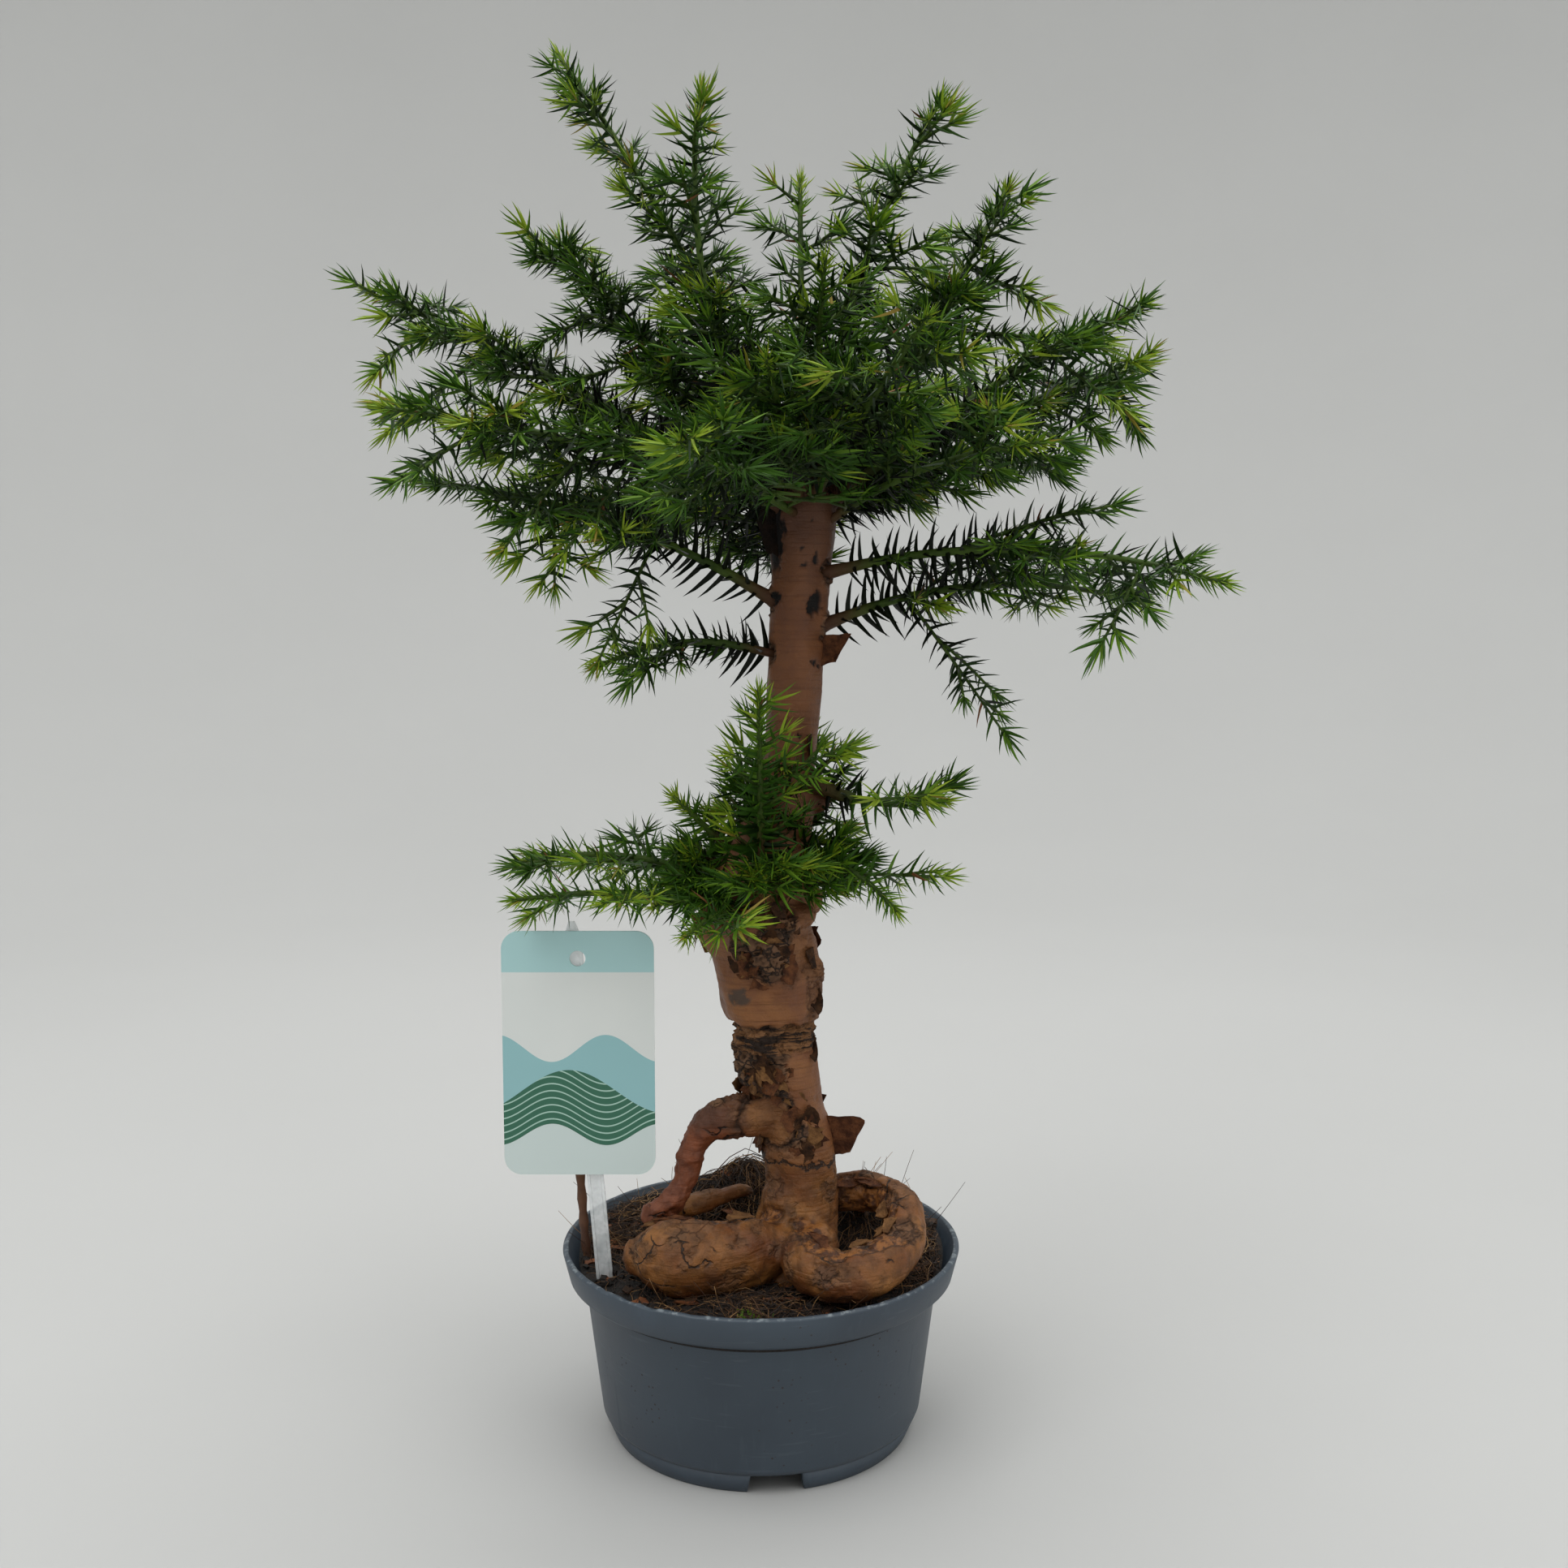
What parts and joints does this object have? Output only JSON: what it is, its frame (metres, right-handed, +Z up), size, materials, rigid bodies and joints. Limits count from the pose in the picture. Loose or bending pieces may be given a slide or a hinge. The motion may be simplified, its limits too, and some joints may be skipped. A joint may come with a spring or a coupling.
{
  "type": "hoop pine bonsai",
  "caption": "Potted conifer bonsai: swollen bare trunk on looping surface roots, low whorl of twigs, spreading crown of needle shoots, low round nursery pot with a plain plant label.",
  "frame": {"origin": "where the pot's axis meets the surface that the pot stands on", "axes": "+Z up, -Y towards the plant's front, +X to the right of someone looking at the front"},
  "size_m": [0.3353, 0.2624, 0.5245],
  "materials": {
    "pot": "satin grey-blue polypropylene, scuffed at the rim",
    "soil": "dark moist peat with root fibre",
    "bark": "copper-brown bark, smooth above, cracked and flaking below",
    "root": "smooth golden-brown bark with splits",
    "limb": "green to brown young bark",
    "needles": "glossy dark green needles, yellow-green at the tips",
    "card": "printed plastic card",
    "clear": "clear plastic"
  },
  "bodies": {
    "root": {"pot": "pot", "soil": "soil", "trunk": "bark", "root_left": "root", "root_loop_front": "root", "root_loop_back": "root", "root_arch": "root", "root_spur": "root", "label_card": "card", "label_stem": "clear", "bough_leader_left": "limb", "bough_leader_middle": "limb", "bough_leader_back": "limb", "bough_leader_right": "limb", "bough_crown_left_high": "limb", "bough_crown_left_far": "limb", "bough_crown_left_near": "limb", "bough_crown_right_high": "limb", "bough_crown_right_near": "limb", "bough_crown_right_far": "limb", "bough_crown_front_right": "limb", "bough_middle_left": "limb", "bough_middle_right": "limb", "bough_middle_right_low": "limb", "bough_low_right": "limb", "foliage_leader_left": "needles", "foliage_leader_middle": "needles", "foliage_leader_back": "needles", "foliage_leader_right": "needles", "foliage_crown_left_high": "needles", "foliage_crown_left_far": "needles", "foliage_crown_left_near": "needles", "foliage_crown_right_high": "needles", "foliage_crown_right_near": "needles", "foliage_crown_right_far": "needles", "foliage_crown_right_low": "needles", "foliage_crown_front_right": "needles", "foliage_crown_front_high": "needles", "foliage_crown_front_left": "needles", "foliage_crown_front": "needles", "foliage_crown_back_left": "needles", "foliage_crown_back_right": "needles", "foliage_crown_back": "needles", "foliage_crown_back_low_left": "needles", "foliage_crown_back_low_right": "needles", "foliage_middle_left": "needles", "foliage_middle_left_low": "needles", "foliage_middle_right": "needles", "foliage_middle_right_low": "needles", "foliage_middle_back": "needles", "foliage_low_left": "needles", "foliage_low_left_near": "needles", "foliage_low_front_left": "needles", "foliage_low_front": "needles", "foliage_low_left_high": "needles", "foliage_low_right": "needles", "foliage_low_right_near": "needles", "foliage_low_back": "needles", "foliage_low_back_left": "needles"}
  },
  "joints": []
}
